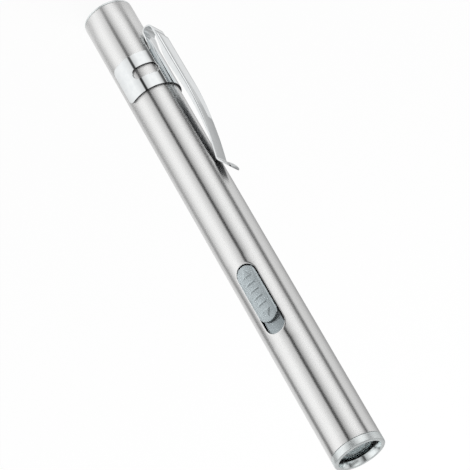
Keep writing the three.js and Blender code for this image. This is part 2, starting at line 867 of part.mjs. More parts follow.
const looks = {
  brushedSteel: { color: 0xc9c9c7, roughness: 0.32, metalness: 1 },
  polishedSteel: { color: 0xdfe2e3, roughness: 0.08, metalness: 1 },
  bezelMetal: { color: 0xd3dad9, roughness: 0.2, metalness: 1 },
  springSteel: { color: 0xb9bcbf, roughness: 0.3, metalness: 1 },
  brass: { color: 0xc9a558, roughness: 0.35, metalness: 1 },
  switchPlastic: { color: 0xa6b2b5, roughness: 0.5, metalness: 0 },
  innerPlastic: { color: 0x8d979a, roughness: 0.6, metalness: 0 },
  cellJacket: { color: 0x5d7f93, roughness: 0.4, metalness: 0.2 },
  boardGreen: { color: 0x2f6b46, roughness: 0.5, metalness: 0 },
  boardWhite: { color: 0xe8e8e2, roughness: 0.5, metalness: 0 },
  blackRubber: { color: 0x1b1c1d, roughness: 0.7, metalness: 0 },
  darkChip: { color: 0x26282a, roughness: 0.5, metalness: 0 },
  phosphor: { color: 0xe6cf5a, roughness: 0.5, metalness: 0 },
  clearGlass: { color: 0xdfe7e8, roughness: 0.05, metalness: 0 },
  mirrorCup: { color: 0xe6e8ea, roughness: 0.05, metalness: 1 },
};

function piece(name, geometry, look) {
  const mesh = new THREE.Mesh(geometry, new THREE.MeshStandardMaterial(looks[look]));
  mesh.name = name;
  return mesh;
}

const clip = new THREE.Group();
clip.rotation.z = THREE.MathUtils.degToRad(clipBearing);
clip.add(
  piece('clip_band', clipBand(), 'polishedSteel'),
  piece('clip_arm', clipArm(), 'polishedSteel'),
);

const powerTrain = new THREE.Group();
powerTrain.add(
  piece('tail_spring', tailSpring(), 'springSteel'),
  piece('rear_cell', cell(rearCellBottom), 'cellJacket'),
  piece('front_cell', cell(frontCellBottom), 'cellJacket'),
  piece('cell_sleeve', cellSleeve(), 'innerPlastic'),
);

const slideSwitch = new THREE.Group();
slideSwitch.add(
  piece('switch_carrier', switchCarrier(), 'innerPlastic'),
  piece('feed_rivet', feedRivet(), 'brass'),
  piece('feed_strip', feedStrip(), 'brass'),
  piece('load_strip', loadStrip(), 'brass'),
  piece('switch_slider', switchSlider(), 'switchPlastic'),
  piece('bridge_leaf', bridgeLeaf(), 'brass'),
);

const driverBoard = disc(pillBore - driverBoardFit, driverBoardRear, driverBoardFront);
const ledBoard = disc(fitRadius - ledBoardFit, ledBoardRear, ledBoardFront);
const lightHead = new THREE.Group();
lightHead.add(
  piece('light_pill', lightPill(), 'brass'),
  piece('driver_board', driverBoard, 'boardGreen'),
  piece('driver_coil', driverCoil(), 'darkChip'),
  piece('driver_chip', driverChip(), 'darkChip'),
  piece('led_board', ledBoard, 'boardWhite'),
  piece('led_package', ledPackage(), 'phosphor'),
  piece('led_dome', ledDome(), 'clearGlass'),
  piece('centring_ring', centringRing(), 'innerPlastic'),
  piece('reflector', reflector(), 'mirrorCup'),
  piece('lens', disc(lensRadius, lensRear, lensFront, facets), 'clearGlass'),
  piece('lens_gasket', lensGasket(), 'blackRubber'),
  piece('bezel_ring', bezelRing(), 'bezelMetal'),
);

const penlight = new THREE.Group();
penlight.add(
  piece('barrel_tube', barrelTube(), 'brushedSteel'),
  piece('tail_plug', tailPlug(), 'bezelMetal'),
  clip,
  powerTrain,
  slideSwitch,
  lightHead,
);

export default penlight;
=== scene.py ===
import json
import math

import bmesh
import bpy
from mathutils import Matrix, Vector


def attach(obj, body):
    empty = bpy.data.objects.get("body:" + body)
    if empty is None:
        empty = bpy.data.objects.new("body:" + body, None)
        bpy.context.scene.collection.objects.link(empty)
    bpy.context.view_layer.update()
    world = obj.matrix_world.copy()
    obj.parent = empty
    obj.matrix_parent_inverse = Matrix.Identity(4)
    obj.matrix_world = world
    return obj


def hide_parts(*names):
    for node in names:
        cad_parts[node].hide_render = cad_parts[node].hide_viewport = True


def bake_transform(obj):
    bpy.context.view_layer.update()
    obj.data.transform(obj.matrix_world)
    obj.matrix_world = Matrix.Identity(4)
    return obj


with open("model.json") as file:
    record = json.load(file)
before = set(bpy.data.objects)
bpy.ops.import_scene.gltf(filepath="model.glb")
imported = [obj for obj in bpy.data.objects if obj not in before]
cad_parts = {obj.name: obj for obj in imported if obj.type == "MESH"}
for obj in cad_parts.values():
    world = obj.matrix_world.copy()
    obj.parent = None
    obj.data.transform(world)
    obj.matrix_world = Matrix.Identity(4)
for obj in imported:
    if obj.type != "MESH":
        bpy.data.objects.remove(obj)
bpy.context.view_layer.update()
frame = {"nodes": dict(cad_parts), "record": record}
nodes = frame["nodes"]
mm = 0.001
print("frame loaded:", len(nodes), "nodes")


# shader sockets that can be added, multiplied and so on
class Flow:
    def __init__(self, tree, socket=None):
        self.tree, self.socket = tree, socket

    def node(self, kind, inputs=None, settings=None, out=0):
        made = self.tree.nodes.new("ShaderNode" + kind)
        for name, value in (settings or {}).items():
            if name == "stops":
                self.setStops(made.color_ramp, value)
            else:
                setattr(made, name, value)
        for name, value in (inputs or {}).items():
            if isinstance(value, Flow):
                self.tree.links.new(value.socket, made.inputs[name])
            else:
                made.inputs[name].default_value = value
        return Flow(self.tree, made.outputs[out] if made.outputs else None)

    def setStops(self, ramp, stops):
        while len(ramp.elements) < len(stops):
            ramp.elements.new(1)
        for element, (place, grey) in zip(ramp.elements, stops):
            element.position = place
            element.color = (grey, grey, grey, 1)

    def maths(self, operation, *values):
        return self.node("Math", dict(enumerate(values)), {"operation": operation})

    def vector(self, operation, *values, out=0):
        return self.node("VectorMath", dict(enumerate(values)), {"operation": operation}, out)

    def __add__(self, other):
        return self.maths("ADD", self, other)

    def __radd__(self, other):
        return self.maths("ADD", other, self)

    def __sub__(self, other):
        return self.maths("SUBTRACT", self, other)

    def __rsub__(self, other):
        return self.maths("SUBTRACT", other, self)

    def __mul__(self, other):
        return self.maths("MULTIPLY", self, other)

    def __rmul__(self, other):
        return self.maths("MULTIPLY", other, self)

    def __truediv__(self, other):
        return self.maths("DIVIDE", self, other)

    def __rtruediv__(self, other):
        return self.maths("DIVIDE", other, self)

    def ramp(self, low, high, outLow=0.0, outHigh=1.0):
        inputs = {"Value": self, 1: low, 2: high, 3: outLow, 4: outHigh}
        return self.node("MapRange", inputs, {"interpolation_type": "SMOOTHSTEP"})

    def mixed(self, first, second):
        return self.node("Mix", {"Factor": self, 6: first, 7: second}, {"data_type": "RGBA"}, out=2)

    def tint(self, dark, light):
        return self.mixed((*dark, 1), (*light, 1))


def newTree(owner):
    owner.use_nodes = True
    owner.node_tree.nodes.clear()
    return Flow(owner.node_tree)


def newMaterial(name, shader):
    material = bpy.data.materials.new(name)
    flow = newTree(material)
    flow.node("OutputMaterial", {"Surface": shader(flow)})
    return material


def surface(name, fixed, varied):
    return newMaterial(name, lambda flow: flow.node("BsdfPrincipled", {**fixed, **varied(flow)}))


# places on the surface, in millimetres
def places(flow):
    spot = flow.node("TexCoord", out="Object")
    return flow.node("VectorMath", {0: spot, "Scale": 1 / mm}, {"operation": "SCALE"})


def heightOf(flow, spot):
    return flow.node("SeparateXYZ", {0: spot}, out="Z")


def levelled(flow, spot):
    return flow.vector("MULTIPLY", spot, (1, 1, 0))


def awayFromAxis(flow, spot):
    return flow.vector("LENGTH", levelled(flow, spot), out="Value")


def stretched(flow, spot, scale):
    return flow.node("Mapping", {"Vector": spot, "Scale": scale})


# where most of a noise's values lie, and the detail and roughness of the finer kinds
noiseSpan = (0.3, 0.7)
fineNoise = (4.0, 0.6)


def noise(flow, spot, scale, detail=3.0, rough=0.5):
    inputs = {"Vector": spot, "Scale": scale, "Detail": detail, "Roughness": rough}
    return flow.node("TexNoise", inputs)


def bumped(flow, height, distance, strength):
    inputs = {"Height": height, "Distance": distance * mm, "Strength": strength}
    return flow.node("Bump", inputs)


brushedLook = {
    "dark": (0.93, 0.93, 0.925), "light": (0.985, 0.985, 0.98), "rough": (0.26, 0.31),
    "lineScale": 9.0, "lineStretch": (0.05, 0.05, 1), "lineNoise": (5.0, 0.65),
    "lineHeight": 0.001, "lineStrength": 0.2,
    "patchScale": 1.0, "patchStretch": (0.25, 0.25, 0.08), "patchShare": 0.25,
}


# fine lines that run round the tube
def brushedSteel(flow):
    look = brushedLook
    spot = places(flow)
    lines = noise(flow, stretched(flow, spot, look["lineStretch"]), look["lineScale"], *look["lineNoise"])
    patches = noise(flow, stretched(flow, spot, look["patchStretch"]), look["patchScale"])
    shade = lines * (1 - look["patchShare"]) + patches * look["patchShare"]
    return {
        "Base Color": shade.ramp(*noiseSpan).tint(look["dark"], look["light"]),
        "Roughness": lines.ramp(*noiseSpan, *look["rough"]),
        "Normal": bumped(flow, lines, look["lineHeight"], look["lineStrength"]),
    }


polishedLook = {
    "dark": (0.86, 0.885, 0.895), "light": (0.92, 0.94, 0.945), "rough": (0.02, 0.055),
    "hazeScale": 0.8, "hazeSpan": (0.35, 0.7),
    "waveScale": 0.35, "waveDetail": 1.0, "waveHeight": 0.003, "waveStrength": 0.1,
    "inside": (0.88, 0.905, 0.915), "insideRough": 0.13, "insideLean": (-0.5, -0.2),
    "bendLean": (0.2, 0.5), "bendHeight": (14.5, 16),
    # painted shade: the dark colour on the arm's inner face towards its tip, with the heights and half
    # width over which it spreads
    "under": (0.09, 0.095, 0.10), "underHeight": (30, 37), "underHalf": (2.1, 2.25),
    # painted shade: the near black colour of the band's sheared edges, standing for the dark line along
    # them, and where those edges lie
    "cutEdgeShade": (0.02, 0.02, 0.021), "cutLean": (0.35, 0.65), "cutHeight": (17, 17.6), "cutAway": (7.7, 7.8),
}


# polished outside and rougher inside the hairpin; painted shade darkens the arm's inner face towards its
# tip, and the band's sheared edges are painted near black as painted shade for the dark line along them
def polishedSpring(flow):
    look = polishedLook
    spot = places(flow)
    haze = noise(flow, spot, look["hazeScale"], *fineNoise)
    waves = noise(flow, spot, look["waveScale"], look["waveDetail"])
    facing = flow.node("TexCoord", out="Normal")
    outward = flow.vector("NORMALIZE", levelled(flow, spot))
    leaning = flow.vector("DOT_PRODUCT", facing, outward, out="Value")
    forward = heightOf(flow, facing)
    height = heightOf(flow, spot)
    aside = flow.maths("ABSOLUTE", flow.node("SeparateXYZ", {0: spot}, out="Y"))
    bend = forward.ramp(*look["bendLean"]) * height.ramp(*look["bendHeight"], 1, 0)
    inside = flow.maths("MAXIMUM", leaning.ramp(*look["insideLean"], 1, 0), bend)
    # the band's sheared edges, which are painted near black as painted shade
    cut = forward.ramp(*look["cutLean"]) * height.ramp(*look["cutHeight"])
    cut = cut * awayFromAxis(flow, spot).ramp(*look["cutAway"], 1, 0)
    # mask of the painted shade on the arm's inner face towards its tip
    under = height.ramp(*look["underHeight"]) * aside.ramp(*look["underHalf"], 1, 0)
    shine = haze.ramp(*noiseSpan).tint(look["dark"], look["light"])
    # the rougher inside colour, with the painted shade mixed in towards the arm's tip
    dullAndShaded = under.tint(look["inside"], look["under"])
    rough = haze.ramp(*look["hazeSpan"], *look["rough"])
    return {
        "Base Color": cut.mixed(inside.mixed(shine, dullAndShaded), (*look["cutEdgeShade"], 1)),
        "Roughness": rough * (1 - inside) + inside * look["insideRough"],
        "Normal": bumped(flow, waves, look["waveHeight"], look["waveStrength"]),
    }


bezelLook = {
    "dark": (0.88, 0.93, 0.935), "light": (0.95, 0.985, 0.985), "rough": (0.31, 0.39),
    "funnel": (5.7, 6.1), "polish": 0.5, "cloudScale": 0.5,
    "lineScale": 7.0, "lineStretch": (0.06, 0.06, 1), "lineHeight": 0.001, "lineStrength": 0.3,
}


# turned satin metal, smoother in the funnel
def turnedSilver(flow):
    look = bezelLook
    spot = places(flow)
    lines = noise(flow, stretched(flow, spot, look["lineStretch"]), look["lineScale"], *fineNoise)
    cloud = noise(flow, spot, look["cloudScale"])
    satin = awayFromAxis(flow, spot).ramp(*look["funnel"], look["polish"], 1)
    return {
        "Base Color": cloud.ramp(*noiseSpan).tint(look["dark"], look["light"]),
        "Roughness": lines.ramp(*noiseSpan, *look["rough"]) * satin,
        "Normal": bumped(flow, lines, look["lineHeight"], look["lineStrength"]),
    }


# a cloudy colour and a fine grain, which the plain materials share
grainLook = {"cloudScale": 0.4, "cloudDetail": 2.0, "cloudShare": 0.6, "strength": 0.4}


def grained(flow, dark, light, rough, scale, height):
    spot = places(flow)
    grain = noise(flow, spot, scale, *fineNoise)
    cloud = noise(flow, spot, grainLook["cloudScale"], grainLook["cloudDetail"])
    shade = cloud * grainLook["cloudShare"] + grain * (1 - grainLook["cloudShare"])
    return {
        "Base Color": shade.ramp(*noiseSpan).tint(dark, light),
        "Roughness": grain.ramp(*noiseSpan, *rough),
        "Normal": bumped(flow, grain, height, grainLook["strength"]),
    }


switchLook = {
    "grain": ((0.335, 0.378, 0.394), (0.40, 0.445, 0.463), (0.38, 0.5), 9.0, 0.004),
    # painted shade: the colour that darkens the plastic deep in the slot, the radii over which it fades and
    # its greatest share
    "recess": (6.3, 6.8), "recessShade": (0.205, 0.233, 0.247), "recessShadeShare": 0.6,
}


# the plate at the bottom of the slot is darkened with painted shade, more the nearer it lies to the axis
def switchPlastic(flow):
    look = switchLook
    inputs = grained(flow, *look["grain"])
    # painted shade, strongest where the plastic lies deepest in the slot
    deep = awayFromAxis(flow, places(flow)).ramp(*look["recess"], look["recessShadeShare"], 0)
    inputs["Base Color"] = deep.mixed(inputs["Base Color"], (*look["recessShade"], 1))
    return inputs


jacketLook = {
    "dark": (0.04, 0.09, 0.14), "light": (0.07, 0.14, 0.20), "rough": (0.28, 0.42),
    "band": (0.62, 0.50, 0.22), "bandEdge": (0.74, 0.76), "bandMetal": 0.9,
    "scuffScale": 1.5, "scuffHeight": 0.003, "scuffStrength": 0.3,
}


# a plain printed jacket with a metallic band towards the contact end
def cellJacket(flow):
    look = jacketLook
    band = heightOf(flow, flow.node("TexCoord", out="Generated")).ramp(*look["bandEdge"])
    scuff = noise(flow, places(flow), look["scuffScale"], *fineNoise)
    body = scuff.ramp(*noiseSpan).tint(look["dark"], look["light"])
    return {
        "Base Color": band.mixed(body, (*look["band"], 1)),
        "Metallic": band * look["bandMetal"],
        "Roughness": scuff.ramp(*noiseSpan, *look["rough"]),
        "Normal": bumped(flow, scuff, look["scuffHeight"], look["scuffStrength"]),
    }


lensLook = {
    "dark": (0.80, 0.84, 0.845), "light": (0.86, 0.90, 0.90), "rough": (0.015, 0.04),
    "smearScale": 0.6, "smearSpan": (0.4, 0.75),
}


def clearGlass(flow):
    look = lensLook
    smear = noise(flow, places(flow), look["smearScale"], *fineNoise)
    return {
        "Base Color": smear.ramp(*noiseSpan).tint(look["dark"], look["light"]),
        "Roughness": smear.ramp(*look["smearSpan"], *look["rough"]),
    }


# takes the dark and light colour, the range of roughness, and the scale and height of the grain
def plainly(*look):
    return lambda flow: grained(flow, *look)


metal = {"Metallic": 1.0}
brushedMetal = {"Metallic": 1.0, "Anisotropic": 1.0, "Anisotropic Rotation": 0.25}
plastic = {"IOR": 1.49}
coated = {"IOR": 1.5}
glassy = {"Transmission Weight": 1.0, "IOR": 1.5}
finishPlan = {
    "brushed_barrel": (brushedMetal, brushedSteel),
    "polished_clip": (metal, polishedSpring),
    "bezel_metal": (metal, turnedSilver),
    "switch_grey": (plastic, switchPlastic),
    "inner_grey": (plastic, plainly((0.20, 0.235, 0.245), (0.27, 0.31, 0.32), (0.5, 0.62), 6.0, 0.005)),
    "cell_jacket": (coated, cellJacket),
    "contact_brass": (metal, plainly((0.62, 0.44, 0.15), (0.74, 0.56, 0.24), (0.24, 0.38), 3.0, 0.002)),
    "spring_wire": (metal, plainly((0.46, 0.46, 0.46), (0.58, 0.58, 0.585), (0.22, 0.34), 4.0, 0.002)),
    "mirror_cup": (metal, plainly((0.55, 0.59, 0.60), (0.63, 0.67, 0.68), (0.05, 0.09), 1.5, 0.0004)),
    "board_green": (coated, plainly((0.012, 0.09, 0.045), (0.02, 0.14, 0.07), (0.35, 0.5), 4.0, 0.003)),
    "board_white": (coated, plainly((0.74, 0.74, 0.71), (0.82, 0.82, 0.79), (0.4, 0.5), 5.0, 0.003)),
    "chip_black": (coated, plainly((0.012, 0.012, 0.013), (0.03, 0.03, 0.032), (0.4, 0.6), 8.0, 0.004)),
    "led_yellow": (coated, plainly((0.74, 0.55, 0.10), (0.84, 0.68, 0.18), (0.35, 0.5), 12.0, 0.002)),
    "gasket_black": (coated, plainly((0.008, 0.008, 0.009), (0.02, 0.02, 0.021), (0.55, 0.75), 7.0, 0.004)),
    "lens_glass": (glassy, clearGlass),
    "led_clear": (glassy, clearGlass),
}
finishes = {name: surface(name, *plan) for name, plan in finishPlan.items()}
for part in frame["record"]["subparts"]:
    node = nodes[part["node"]]
    node.data.materials.clear()
    node.data.materials.append(finishes[part["material_slot"]])
print("finishes made:", len(finishes))


# steps per millimetre in which corners are welded, the slack in comparing places,
# and how far the middle of a rounded edge lies in from its corner, as a share of its radius
weldSteps = 1e4
slack = 1e-6
roundIn = 0.3


# gathers faces and welds the corners that coincide
class Skin:
    def __init__(self):
        self.points, self.faces, self.known = [], [], {}

    def corner(self, point):
        key = tuple(round(value * weldSteps) for value in point)
        if key not in self.known:
            self.known[key] = len(self.points)
            self.points.append(tuple(value * mm for value in point))
        return self.known[key]

    def face(self, *points):
        loop = []
        for corner in map(self.corner, points):
            if corner not in loop:
                loop.append(corner)
        if len(loop) > 2:
            self.faces.append(loop)

    def strip(self, first, second, closed=False):
        count = len(first)
        for i in range(count if closed else count - 1):
            j = (i + 1) % count
            self.face(first[i], first[j], second[j], second[i])

    def grid(self, rows, closed=False):
        for first, second in zip(rows, rows[1:]):
            self.strip(first, second, closed)


def placed(name, data):
    thing = bpy.data.objects.new(name, data)
    bpy.context.scene.collection.objects.link(thing)
    return thing


def makePiece(name, skin, slot, sharp=38):
    mesh = bpy.data.meshes.new(name)
    mesh.from_pydata(skin.points, [], skin.faces)
    build = bmesh.new()
    build.from_mesh(mesh)
    bmesh.ops.recalc_face_normals(build, faces=build.faces)
    build.to_mesh(mesh)
    build.free()
    mesh.shade_smooth()
    mesh.set_sharp_from_angle(angle=math.radians(sharp))
    mesh.materials.append(finishes[slot])
    piece = placed(name, mesh)
    return piece


def lerp(low, high, share):
    return low + (high - low) * share


def smooth(low, high, value):
    share = min(max((value - low) / (high - low), 0), 1)
    return share * share * (3 - 2 * share)


# rounds the corners of a closed outline of (across, along, radius) points
def rounded(outline, steps=5):
    points = []
    for i, (across, along, radius) in enumerate(outline):
        here = Vector((across, along))
        if not radius:
            points.append(tuple(here))
            continue
        toBefore = (Vector(outline[i - 1][:2]) - here).normalized()
        toAfter = (Vector(outline[(i + 1) % len(outline)][:2]) - here).normalized()
        half = toBefore.angle(toAfter) / 2
        middle = here + (toBefore + toAfter).normalized() * radius / math.sin(half)
        start = here + toBefore * radius / math.tan(half) - middle
        end = here + toAfter * radius / math.tan(half) - middle
        turn = start.angle(end) * math.copysign(1, start.x * end.y - start.y * end.x)
        for k in range(steps + 1):
            spoke = Matrix.Rotation(turn * k / steps, 2) @ start
            points.append(tuple(middle + spoke))
    return points


# each point of an outline names its settings: radius, height and, on a turned piece, rounding
def outlineOf(size, *points):
    known = {"axis": 0, "sharp": 0, **size}
    return [tuple(known[name] for name in point.split()) for point in points]


def turnedSkin(outline, count, steps=5):
    skin = Skin()
    profile = rounded(outline, steps)
    rows = []
    for i in range(count):
        angle = 2 * math.pi * i / count
        cos, sin = math.cos(angle), math.sin(angle)
        rows.append([(radius * cos, radius * sin, height) for radius, height in profile])
    rows.append(rows[0])
    skin.grid(rows, closed=True)
    return skin


# angle 0 faces the switch side
def onTube(radius, angle, height):
    return (radius * math.sin(angle), -radius * math.cos(angle), height)


barrel = {
    "radius": 7.0, "bore": 6.5, "rear": 0.7, "front": 143.9, "edge": 0.12,
    "slotWidth": 5.9, "slotLength": 21.0, "slotMiddle": 99.0, "slotEdge": 0.16,
    "patchAngle": math.radians(40), "patchMargin": 3.0, "columns": 120,
    "straightSteps": 16, "arcSteps": 24, "endSteps": 12, "ringShares": (0, 0.1, 0.3, 0.6, 1),
}


# points round the switch slot: place, outward direction and the patch border point that each leads to
def slotLoop():
    half = barrel["slotWidth"] / 2
    straight = barrel["slotLength"] / 2 - half
    side = barrel["patchAngle"]
    reach = straight + half + barrel["patchMargin"]
    loop = []
    for turn in (1, -1):
        for i in range(barrel["straightSteps"]):
            height = turn * lerp(-straight, straight, i / barrel["straightSteps"])
            loop.append(((turn * half, height), (turn, 0), (turn * side, height)))
        for i in range(barrel["arcSteps"]):
            angle = math.pi * i / barrel["arcSteps"]
            cos, sin = math.cos(angle), math.sin(angle)
            quarter = angle / (math.pi / 4)
            if quarter <= 1:
                border = (side, lerp(straight, reach, quarter))
            elif quarter >= 3:
                border = (-side, lerp(straight, reach, 4 - quarter))
            else:
                border = (side * (2 - quarter), reach)
            point = (turn * half * cos, turn * (straight + half * sin))
            loop.append((point, (turn * cos, turn * sin), (turn * border[0], turn * border[1])))
    return loop


def slotRing(loop, radius, offset):
    middle = barrel["slotMiddle"]
    ring = []
    for (across, height), (outAcross, outUp), _ in loop:
        angle = math.asin((across + offset * outAcross) / radius)
        ring.append((angle, middle + height + offset * outUp))
    return ring


def tubePatch(skin, loop, radius, offset):
    inner = slotRing(loop, radius, offset)
    border = [(angle, barrel["slotMiddle"] + height) for _, _, (angle, height) in loop]
    rows = []
    for share in barrel["ringShares"]:
        pairs = zip(inner, border)
        rows.append([onTube(radius, lerp(a[0], b[0], share), lerp(a[1], b[1], share)) for a, b in pairs])
    skin.grid(rows, closed=True)
    return border


# a wall's rounded outer edge and its straight run to the bore
def wallEdge(edge):
    radius, inward = barrel["radius"], roundIn * edge
    return [(radius, edge), (radius - inward, inward), (radius - edge, 0), (barrel["bore"], 0)]


def barrelTube():
    skin = Skin()
    loop = slotLoop()
    radius, bore, edge, lip = (barrel[key] for key in ("radius", "bore", "edge", "slotEdge"))
    border = tubePatch(skin, loop, radius, lip)
    tubePatch(skin, loop, bore, 0)
    skin.grid([[onTube(r, *p) for p in slotRing(loop, r, off)] for r, off in wallEdge(lip)], closed=True)
    side = barrel["patchAngle"]
    heights = sorted({round(z, 6) for angle, z in border if abs(angle - side) < slack})
    front = sorted({round(angle, 9) for angle, z in border if abs(z - heights[-1]) < slack})
    count, steps = barrel["columns"], barrel["endSteps"]
    rest = [lerp(side, 2 * math.pi - side, i / count) for i in range(count + 1)]
    around = front + rest[1:]
    for r in (radius, bore):
        skin.grid([[onTube(r, angle, z) for z in heights] for angle in rest])
        cut = edge if r == radius else 0
        for ends in ((barrel["rear"] + cut, heights[0]), (heights[-1], barrel["front"] - cut)):
            stops = [lerp(*ends, i / steps) for i in range(steps + 1)]
            skin.grid([[onTube(r, angle, z) for z in stops] for angle in around])
    for end, way in ((barrel["rear"], 1), (barrel["front"], -1)):
        skin.grid([[onTube(r, angle, end + way * rise) for r, rise in wallEdge(edge)] for angle in around])
    return skin


tube = makePiece("barrel", barrelTube(), "brushed_barrel")
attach(tube, "barrel")
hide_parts("barrel_tube")
print("barrel made")


tail = {
    "radius": 6.95, "rear": 0, "rim": 0.6, "round": 0.3, "rimEdge": 0.08, "count": 128,
    "fit": 6.3, "fillet": 0.05, "top": 4.9, "topEdge": 0.25,
    "well": 4.0, "wellEdge": 0.1, "floor": 3.7, "post": 1.9, "postEdge": 0.15,
}
plugOutline = outlineOf(
    tail, "axis rear sharp", "radius rear round", "radius rim rimEdge", "fit rim fillet", "fit top topEdge",
    "well top wellEdge", "well floor sharp", "post floor sharp", "post top postEdge", "axis top sharp")
plug = makePiece("tail_cap", turnedSkin(plugOutline, tail["count"]), "bezel_metal")
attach(plug, "barrel")
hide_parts("tail_plug")
print("tail cap made")


slider = {
    "middle": 97.4, "length": 16.9, "width": 5.5, "top": 7.1, "foot": 6.7, "shift": 0.09,
    "edge": 0.22, "endDrop": 0.06, "endPower": 4, "rowStep": 0.1, "columns": 60, "endRows": 22,
    "ribs": 4, "ribPitch": 2.13, "ribHalf": (1.15, 0.2), "ramp": 0.42, "markHeight": 0.23,
    "arrowSpread": 6.15, "arrowLength": 2.0, "arrowWidth": 2.4,
}


def markHeight(across, along):
    ramp = slider["ramp"]
    halfLength, halfWidth = slider["ribHalf"]
    best = 0
    for i in range(slider["ribs"]):
        off = abs(along - (i - (slider["ribs"] - 1) / 2) * slider["ribPitch"])
        inside = min(halfLength - abs(across), halfWidth - off)
        best = max(best, smooth(-ramp / 2, ramp / 2, inside))
    out = abs(along) - slider["arrowSpread"]
    slope = slider["arrowWidth"] / 2 / slider["arrowLength"]
    edge = slope * (slider["arrowLength"] / 2 - out) - abs(across)
    inside = min(edge / math.hypot(1, slope), out + slider["arrowLength"] / 2)
    return slider["markHeight"] * max(best, smooth(-ramp / 2, ramp / 2, inside))


def knobHeight(across, along):
    half = slider["width"] / 2
    straight = slider["length"] / 2 - half
    inset = half - math.hypot(across, max(abs(along) - straight, 0))
    edge = slider["edge"]
    gap = max(edge - inset, 0)
    drop = edge - math.sqrt(max(edge * edge - gap * gap, 0))
    drop += slider["endDrop"] * (2 * abs(along) / slider["length"]) ** slider["endPower"]
    return math.sqrt(slider["top"] ** 2 - across ** 2) - drop + markHeight(across, along)


def knobSkin():
    skin = Skin()
    half = slider["width"] / 2
    straight = slider["length"] / 2 - half
    steps = round(2 * straight / slider["rowStep"])
    turns = [math.pi / 2 * i / slider["endRows"] for i in range(1, slider["endRows"] + 1)]
    alongs = [-straight - half * math.sin(turn) for turn in reversed(turns)]
    alongs += [lerp(-straight, straight, i / steps) for i in range(steps + 1)]
    alongs += [straight + half * math.sin(turn) for turn in turns]
    shares = [math.sin(math.pi / 2 * math.sin(math.pi / 2 * (2 * i / slider["columns"] - 1)))
              for i in range(slider["columns"] + 1)]
    shift = slider["shift"]
    rows, feet = [], []
    for along in alongs:
        past = max(abs(along) - straight, 0)
        width = math.sqrt(max(half * half - past * past, 0))
        height = slider["middle"] + along
        row = [(shift + share * width, -knobHeight(share * width, along), height) for share in shares]
        foot = [(x, -slider["foot"], height) for x, _, _ in row]
        rows.append(row)
        feet.append(foot)
    skin.grid(rows)
    skin.grid(feet)
    for side in (0, -1):
        skin.strip([row[side] for row in rows], [foot[side] for foot in feet])
    return skin


knob = makePiece("switch_knob", knobSkin(), "switch_grey", sharp=60)
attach(knob, "switch")
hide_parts("switch_slider")

plate = {"inner": 6.08, "outer": 6.22, "half": 2.57, "shift": 0.17, "rear": 89.5, "front": 110.0,
         "edge": 0.06, "columns": 24}
# a black strip beneath the plate, a dark sheet put there as painted shade for the gaps round the slider
strip = {"inner": 5.96, "outer": 6.07, "half": 3.4, "shift": 0, "rear": 83.8, "front": 110.2,
         "edge": 0.03, "columns": 24}
neck = {"inner": 6.2, "outer": 6.72, "half": 1.9, "shift": 0, "rear": 90.2, "front": 104.2,
        "edge": 0.05, "columns": 16}
edgeSteps = 3


# a strip's section as (across, radius), with its two long faces cut into columns
def stripRing(size):
    half, inner, outer, edge = (size[key] for key in ("half", "inner", "outer", "edge"))
    corners = ((-half, inner), (half, inner), (half, outer), (-half, outer))
    profile = rounded([(*corner, edge) for corner in corners], edgeSteps)
    ring = []
    for (across, radius), (after, _) in zip(profile, profile[1:] + profile[:1]):
        ring.append((across, radius))
        if abs(after - across) > half:
            count = size["columns"]
            ring += [(lerp(across, after, k / count), radius) for k in range(1, count)]
    return ring


# a curved strip that follows the barrel's wall
def curvedStrip(size):
    skin = Skin()
    half, inner, outer, edge = (size[key] for key in ("half", "inner", "outer", "edge"))
    ring = stripRing(size)
    middle = (inner + outer) / 2
    rows = []
    for height, shrink in ((size["rear"], edge), (size["rear"] + edge, 0),
                           (size["front"] - edge, 0), (size["front"], edge)):
        narrower, thinner = 1 - shrink / half, 1 - 2 * shrink / (outer - inner)
        near = [(across * narrower, middle + (radius - middle) * thinner) for across, radius in ring]
        rows.append([onTube(radius, (across + size["shift"]) / outer, height) for across, radius in near])
    skin.grid(rows, closed=True)
    for row in (rows[0], rows[-1]):
        for i in range(len(ring) // 2 - 1):
            skin.face(row[i], row[i + 1], row[-i - 2], row[-i - 1])
    return skin


# the black strip goes in as painted shade for the slot's gaps
for name, size, slot in (("switch_plate", plate, "switch_grey"), ("switch_neck", neck, "switch_grey"),
                         ("shade_strip", strip, "gasket_black")):
    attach(makePiece(name, curvedStrip(size), slot), "switch")
print("switch made")


bezel = {
    "radius": 7.0, "rear": 144.0, "front": 146.0, "round": 0.3, "lip": 0.1, "rearEdge": 0.12, "count": 160,
    "mouth": 5.9, "throat": 5.35, "seat": 144.43, "seatEdge": 0.04,
    "fit": 6.3, "fillet": 0.05, "bore": 5.75, "boreEdge": 0.1, "skirt": 140.5, "skirtEdge": 0.2,
}
bezelOutline = outlineOf(
    bezel, "bore skirt boreEdge", "fit skirt skirtEdge", "fit rear fillet", "radius rear rearEdge",
    "radius front round", "mouth front lip", "throat seat seatEdge", "bore seat seatEdge")
ring = makePiece("bezel", turnedSkin(bezelOutline, bezel["count"]), "bezel_metal")
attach(ring, "bezel")
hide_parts("bezel_ring")


screw = {
    "rear": 140.9, "front": 143.5, "pitch": 0.75, "height": 0.14, "sunk": 0.06,
    "rootShare": 0.34, "crestShare": 0.2, "fade": 0.06, "stepsPerTurn": 64,
}


